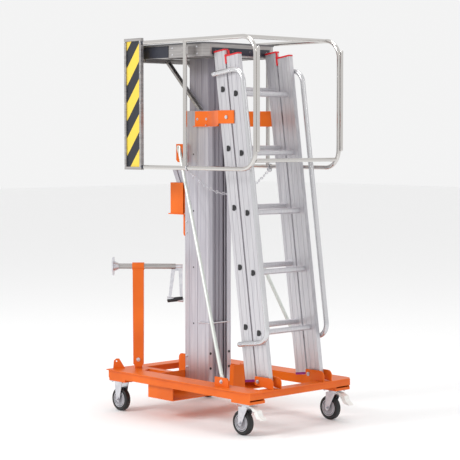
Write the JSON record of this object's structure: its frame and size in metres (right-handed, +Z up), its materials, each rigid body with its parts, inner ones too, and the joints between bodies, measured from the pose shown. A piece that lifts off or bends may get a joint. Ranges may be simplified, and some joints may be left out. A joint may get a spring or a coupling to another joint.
{
  "type": "aerial lift",
  "caption": "Vertical mast lift on castors: nested aluminium mast, platform with sliding guard cage, bolted access ladder, hand winch, swing-out outriggers.",
  "frame": {"origin": "on the floor, under the middle of the base frame", "axes": "+X towards the ladder side, +Y across to the side opposite the near rail in the picture, +Z up"},
  "size_m": [1.1799, 0.74, 1.979],
  "materials": {
    "orange_paint": "gloss",
    "zinc": "satin",
    "white_steel": "satin",
    "tyre": "matt",
    "aluminium": "satin",
    "nylon": "matt",
    "red_plastic": "gloss",
    "violet_plastic": "matt",
    "deck_dark": "satin",
    "stainless": "polished",
    "hazard_yellow": "satin"
  },
  "bodies": {
    "base": {"side_rails": "orange_paint", "end_rails": "orange_paint", "mast_cradle": "orange_paint", "inner_members": "orange_paint", "mast_gussets": "orange_paint", "ladder_ears": "orange_paint", "strut_lugs": "orange_paint", "lock_lugs": "orange_paint", "outrigger_lugs": "orange_paint", "castor_plates": "zinc", "rear_forks": "zinc", "mast_fixed": "aluminium", "mast_pads": "nylon", "stop_rod": "zinc", "strut_bracket": "orange_paint", "struts": "zinc", "winch_housing": "orange_paint", "winch_link": "aluminium", "ladder_brackets": "orange_paint", "stiles_rear": "aluminium", "stiles_front": "aluminium", "rungs_rear": "aluminium", "rungs_front": "aluminium", "ladder_caps": "red_plastic", "ladder_feet": "violet_plastic", "handrails": "aluminium", "ladder_pins": "zinc"},
    "castor_near": {"fork_near": "zinc", "brake_near": "white_steel"},
    "castor_far": {"fork_far": "zinc", "brake_far": "white_steel"},
    "wheel_a": {"wheel_front_near": "tyre"},
    "wheel_b": {"wheel_front_far": "tyre"},
    "wheel_c": {"wheel_rear_near": "tyre"},
    "wheel_d": {"wheel_rear_far": "tyre"},
    "mid_stage": {"mast_mid": "aluminium", "mid_pads": "nylon"},
    "lift_stage": {"mast_inner": "aluminium", "platform_frame": "aluminium", "platform_deck": "deck_dark", "platform_covers": "deck_dark", "platform_braces": "aluminium", "cage_guides": "aluminium"},
    "cage": {"cage_loops": "stainless", "cage_front_rails": "stainless", "panel_frames": "aluminium", "panel_boards": "hazard_yellow", "cage_joints": "deck_dark", "safety_chain": "zinc"},
    "outrigger_near": {"arm_near": "orange_paint", "jack_near": "zinc", "crank_near": "zinc"},
    "outrigger_far": {"arm_far": "orange_paint", "jack_far": "zinc", "crank_far": "zinc"},
    "jack_foot_near": {"foot_near": "zinc"},
    "jack_foot_far": {"foot_far": "zinc"}
  },
  "joints": [
    {"name": "castor_swivel_near", "type": "hinge", "parent": "base", "child": "castor_near", "pos_m": [0.475, -0.312, 0.15], "axis": [0, 0, 1], "continuous": true},
    {"name": "castor_swivel_far", "type": "hinge", "parent": "base", "child": "castor_far", "pos_m": [0.475, 0.312, 0.15], "axis": [0, 0, 1], "continuous": true},
    {"name": "wheel_spin_front_near", "type": "hinge", "parent": "castor_near", "child": "wheel_a", "pos_m": [0.447, -0.312, 0.0625], "axis": [0, 1, 0], "continuous": true},
    {"name": "wheel_spin_front_far", "type": "hinge", "parent": "castor_far", "child": "wheel_b", "pos_m": [0.447, 0.312, 0.0625], "axis": [0, 1, 0], "continuous": true},
    {"name": "wheel_spin_rear_near", "type": "hinge", "parent": "base", "child": "wheel_c", "pos_m": [-0.5, -0.312, 0.0625], "axis": [0, 1, 0], "continuous": true},
    {"name": "wheel_spin_rear_far", "type": "hinge", "parent": "base", "child": "wheel_d", "pos_m": [-0.5, 0.312, 0.0625], "axis": [0, 1, 0], "continuous": true},
    {"name": "mast_stage_one", "type": "slide", "parent": "base", "child": "mid_stage", "axis": [0, 0, 1], "range_m": [0, 1.15], "deforming": ["safety_chain"]},
    {"name": "mast_stage_two", "type": "slide", "parent": "mid_stage", "child": "lift_stage", "axis": [0, 0, 1], "range_m": [0, 1.15]},
    {"name": "cage_lift", "type": "slide", "parent": "lift_stage", "child": "cage", "axis": [0, 0, 1], "range_m": [0, 0.55], "deforming": ["safety_chain"]},
    {"name": "outrigger_swing_near", "type": "hinge", "parent": "base", "child": "outrigger_near", "pos_m": [-0.455, -0.228, 0.273], "axis": [0.7071, -0.7071, 0], "range_deg": [0, 90]},
    {"name": "jack_screw_near", "type": "slide", "parent": "outrigger_near", "child": "jack_foot_near", "axis": [-0.7071, -0.7071, 0], "range_m": [0, 0.12]},
    {"name": "outrigger_swing_far", "type": "hinge", "parent": "base", "child": "outrigger_far", "pos_m": [-0.455, 0.228, 0.273], "axis": [-0.7071, -0.7071, 0], "range_deg": [0, 90]},
    {"name": "jack_screw_far", "type": "slide", "parent": "outrigger_far", "child": "jack_foot_far", "axis": [-0.7071, 0.7071, 0], "range_m": [0, 0.12]}
  ],
  "couplings": [
    {"joint": "mast_stage_two", "follows": "mast_stage_one", "ratio": 1}
  ]
}
